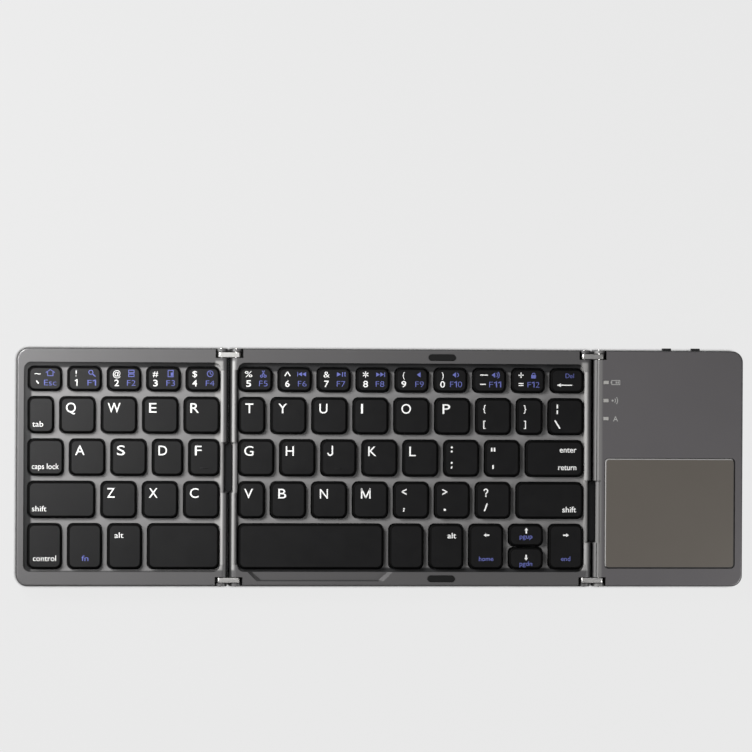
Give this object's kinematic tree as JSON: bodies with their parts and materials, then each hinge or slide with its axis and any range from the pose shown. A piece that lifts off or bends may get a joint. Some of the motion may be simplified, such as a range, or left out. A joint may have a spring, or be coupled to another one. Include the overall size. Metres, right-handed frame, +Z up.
{
  "type": "folding keyboard",
  "caption": "Three-panel folding wireless keyboard with a touchpad wing: both wings fold over the middle on double-jointed links.",
  "frame": {"origin": "centre of the footprint on the table, keyboard open and flat", "axes": "+X to the user's right along the keyboard, +Y to the back edge, +Z up out of the keys"},
  "size_m": [0.302, 0.0994, 0.0083],
  "materials": {
    "case": "satin dark grey moulding",
    "bottom_cover": "fine matt texture",
    "keycap": "matt black with a bevelled edge",
    "steel": "bright metal",
    "rubber": "soft black rubber",
    "key_mat": "dark silicone sheet",
    "touchpad": "smooth satin grey",
    "window": "milky light pipe",
    "board": "green solder mask",
    "battery_foil": "laminated foil pouch",
    "black_plastic": "black moulding"
  },
  "bodies": {
    "middle": {"middle_case": "case", "middle_key_mat": "key_mat", "middle_bottom_cover": "bottom_cover", "middle_pins": "steel", "middle_feet": "rubber", "fold_bumpers": "rubber"},
    "left_link": {"left_hinge_links": "steel", "left_cable_cover": "black_plastic"},
    "left_wing": {"left_case": "case", "left_key_mat": "key_mat", "left_bottom_cover": "bottom_cover", "left_pins": "steel", "left_feet": "rubber"},
    "right_link": {"right_hinge_links": "steel", "right_cable_cover": "black_plastic"},
    "right_wing": {"right_top_plate": "case", "right_housing": "case", "right_bottom_cover": "bottom_cover", "right_pins": "steel", "right_feet": "rubber", "touchpad": "touchpad", "indicator_windows": "window", "main_board": "board", "battery": "battery_foil", "charging_socket": "steel"},
    "key_q": {"key_q": "keycap"},
    "key_w": {"key_w": "keycap"},
    "key_e": {"key_e": "keycap"},
    "key_r": {"key_r": "keycap"},
    "key_a": {"key_a": "keycap"},
    "key_s": {"key_s": "keycap"},
    "key_d": {"key_d": "keycap"},
    "key_f": {"key_f": "keycap"},
    "key_z": {"key_z": "keycap"},
    "key_x": {"key_x": "keycap"},
    "key_c": {"key_c": "keycap"},
    "space_bar_left": {"space_bar_left": "keycap"},
    "number_keys_left": {"number_keys_left": "keycap"},
    "modifier_keys_left": {"modifier_keys_left": "keycap"},
    "key_t": {"key_t": "keycap"},
    "key_y": {"key_y": "keycap"},
    "key_u": {"key_u": "keycap"},
    "key_i": {"key_i": "keycap"},
    "key_o": {"key_o": "keycap"},
    "key_p": {"key_p": "keycap"},
    "key_g": {"key_g": "keycap"},
    "key_h": {"key_h": "keycap"},
    "key_j": {"key_j": "keycap"},
    "key_k": {"key_k": "keycap"},
    "key_l": {"key_l": "keycap"},
    "key_v": {"key_v": "keycap"},
    "key_b": {"key_b": "keycap"},
    "key_n": {"key_n": "keycap"},
    "key_m": {"key_m": "keycap"},
    "space_bar_right": {"space_bar_right": "keycap"},
    "number_keys_middle": {"number_keys_middle": "keycap"},
    "punctuation_keys": {"punctuation_keys": "keycap"},
    "modifier_and_arrow_keys": {"modifier_and_arrow_keys": "keycap"},
    "power_switch": {"power_switch": "black_plastic"},
    "pairing_button": {"pairing_button": "black_plastic"}
  },
  "joints": [
    {"name": "fold_left_inner", "type": "hinge", "parent": "middle", "child": "left_link", "pos_m": [-0.06045, -0.00042, 0.0053], "axis": [0, 1, 0], "range_deg": [0, 90]},
    {"name": "fold_left_outer", "type": "hinge", "parent": "left_link", "child": "left_wing", "pos_m": [-0.06675, -0.00042, 0.0053], "axis": [0, 1, 0], "range_deg": [0, 90]},
    {"name": "fold_right_inner", "type": "hinge", "parent": "middle", "child": "right_link", "pos_m": [0.08465, -0.00042, 0.0053], "axis": [0, -1, 0], "range_deg": [0, 90]},
    {"name": "fold_right_outer", "type": "hinge", "parent": "right_link", "child": "right_wing", "pos_m": [0.09095, -0.00042, 0.0053], "axis": [0, -1, 0], "range_deg": [0, 90]},
    {"name": "key_q_press", "type": "slide", "parent": "left_wing", "child": "key_q", "axis": [0, 0, 1], "range_m": [-0.0014, 0], "stiffness_N_per_m": 250, "springref_m": 0.001},
    {"name": "key_w_press", "type": "slide", "parent": "left_wing", "child": "key_w", "axis": [0, 0, 1], "range_m": [-0.0014, 0], "stiffness_N_per_m": 250, "springref_m": 0.001},
    {"name": "key_e_press", "type": "slide", "parent": "left_wing", "child": "key_e", "axis": [0, 0, 1], "range_m": [-0.0014, 0], "stiffness_N_per_m": 250, "springref_m": 0.001},
    {"name": "key_r_press", "type": "slide", "parent": "left_wing", "child": "key_r", "axis": [0, 0, 1], "range_m": [-0.0014, 0], "stiffness_N_per_m": 250, "springref_m": 0.001},
    {"name": "key_a_press", "type": "slide", "parent": "left_wing", "child": "key_a", "axis": [0, 0, 1], "range_m": [-0.0014, 0], "stiffness_N_per_m": 250, "springref_m": 0.001},
    {"name": "key_s_press", "type": "slide", "parent": "left_wing", "child": "key_s", "axis": [0, 0, 1], "range_m": [-0.0014, 0], "stiffness_N_per_m": 250, "springref_m": 0.001},
    {"name": "key_d_press", "type": "slide", "parent": "left_wing", "child": "key_d", "axis": [0, 0, 1], "range_m": [-0.0014, 0], "stiffness_N_per_m": 250, "springref_m": 0.001},
    {"name": "key_f_press", "type": "slide", "parent": "left_wing", "child": "key_f", "axis": [0, 0, 1], "range_m": [-0.0014, 0], "stiffness_N_per_m": 250, "springref_m": 0.001},
    {"name": "key_z_press", "type": "slide", "parent": "left_wing", "child": "key_z", "axis": [0, 0, 1], "range_m": [-0.0014, 0], "stiffness_N_per_m": 250, "springref_m": 0.001},
    {"name": "key_x_press", "type": "slide", "parent": "left_wing", "child": "key_x", "axis": [0, 0, 1], "range_m": [-0.0014, 0], "stiffness_N_per_m": 250, "springref_m": 0.001},
    {"name": "key_c_press", "type": "slide", "parent": "left_wing", "child": "key_c", "axis": [0, 0, 1], "range_m": [-0.0014, 0], "stiffness_N_per_m": 250, "springref_m": 0.001},
    {"name": "space_bar_left_press", "type": "slide", "parent": "left_wing", "child": "space_bar_left", "axis": [0, 0, 1], "range_m": [-0.0014, 0], "stiffness_N_per_m": 250, "springref_m": 0.001},
    {"name": "number_keys_left_press", "type": "slide", "parent": "left_wing", "child": "number_keys_left", "axis": [0, 0, 1], "range_m": [-0.0014, 0], "stiffness_N_per_m": 250, "springref_m": 0.001},
    {"name": "modifier_keys_left_press", "type": "slide", "parent": "left_wing", "child": "modifier_keys_left", "axis": [0, 0, 1], "range_m": [-0.0014, 0], "stiffness_N_per_m": 250, "springref_m": 0.001},
    {"name": "key_t_press", "type": "slide", "parent": "middle", "child": "key_t", "axis": [0, 0, 1], "range_m": [-0.0014, 0], "stiffness_N_per_m": 250, "springref_m": 0.001},
    {"name": "key_y_press", "type": "slide", "parent": "middle", "child": "key_y", "axis": [0, 0, 1], "range_m": [-0.0014, 0], "stiffness_N_per_m": 250, "springref_m": 0.001},
    {"name": "key_u_press", "type": "slide", "parent": "middle", "child": "key_u", "axis": [0, 0, 1], "range_m": [-0.0014, 0], "stiffness_N_per_m": 250, "springref_m": 0.001},
    {"name": "key_i_press", "type": "slide", "parent": "middle", "child": "key_i", "axis": [0, 0, 1], "range_m": [-0.0014, 0], "stiffness_N_per_m": 250, "springref_m": 0.001},
    {"name": "key_o_press", "type": "slide", "parent": "middle", "child": "key_o", "axis": [0, 0, 1], "range_m": [-0.0014, 0], "stiffness_N_per_m": 250, "springref_m": 0.001},
    {"name": "key_p_press", "type": "slide", "parent": "middle", "child": "key_p", "axis": [0, 0, 1], "range_m": [-0.0014, 0], "stiffness_N_per_m": 250, "springref_m": 0.001},
    {"name": "key_g_press", "type": "slide", "parent": "middle", "child": "key_g", "axis": [0, 0, 1], "range_m": [-0.0014, 0], "stiffness_N_per_m": 250, "springref_m": 0.001},
    {"name": "key_h_press", "type": "slide", "parent": "middle", "child": "key_h", "axis": [0, 0, 1], "range_m": [-0.0014, 0], "stiffness_N_per_m": 250, "springref_m": 0.001},
    {"name": "key_j_press", "type": "slide", "parent": "middle", "child": "key_j", "axis": [0, 0, 1], "range_m": [-0.0014, 0], "stiffness_N_per_m": 250, "springref_m": 0.001},
    {"name": "key_k_press", "type": "slide", "parent": "middle", "child": "key_k", "axis": [0, 0, 1], "range_m": [-0.0014, 0], "stiffness_N_per_m": 250, "springref_m": 0.001},
    {"name": "key_l_press", "type": "slide", "parent": "middle", "child": "key_l", "axis": [0, 0, 1], "range_m": [-0.0014, 0], "stiffness_N_per_m": 250, "springref_m": 0.001},
    {"name": "key_v_press", "type": "slide", "parent": "middle", "child": "key_v", "axis": [0, 0, 1], "range_m": [-0.0014, 0], "stiffness_N_per_m": 250, "springref_m": 0.001},
    {"name": "key_b_press", "type": "slide", "parent": "middle", "child": "key_b", "axis": [0, 0, 1], "range_m": [-0.0014, 0], "stiffness_N_per_m": 250, "springref_m": 0.001},
    {"name": "key_n_press", "type": "slide", "parent": "middle", "child": "key_n", "axis": [0, 0, 1], "range_m": [-0.0014, 0], "stiffness_N_per_m": 250, "springref_m": 0.001},
    {"name": "key_m_press", "type": "slide", "parent": "middle", "child": "key_m", "axis": [0, 0, 1], "range_m": [-0.0014, 0], "stiffness_N_per_m": 250, "springref_m": 0.001},
    {"name": "space_bar_right_press", "type": "slide", "parent": "middle", "child": "space_bar_right", "axis": [0, 0, 1], "range_m": [-0.0014, 0], "stiffness_N_per_m": 250, "springref_m": 0.001},
    {"name": "number_keys_middle_press", "type": "slide", "parent": "middle", "child": "number_keys_middle", "axis": [0, 0, 1], "range_m": [-0.0014, 0], "stiffness_N_per_m": 250, "springref_m": 0.001},
    {"name": "punctuation_keys_press", "type": "slide", "parent": "middle", "child": "punctuation_keys", "axis": [0, 0, 1], "range_m": [-0.0014, 0], "stiffness_N_per_m": 250, "springref_m": 0.001},
    {"name": "modifier_and_arrow_keys_press", "type": "slide", "parent": "middle", "child": "modifier_and_arrow_keys", "axis": [0, 0, 1], "range_m": [-0.0014, 0], "stiffness_N_per_m": 250, "springref_m": 0.001},
    {"name": "power_switch_slide", "type": "slide", "parent": "right_wing", "child": "power_switch", "axis": [1, 0, 0], "range_m": [0, 0.002]},
    {"name": "pairing_button_press", "type": "slide", "parent": "right_wing", "child": "pairing_button", "axis": [0, -1, 0], "range_m": [0, 0.0005], "stiffness_N_per_m": 1500, "springref_m": -0.0004}
  ]
}
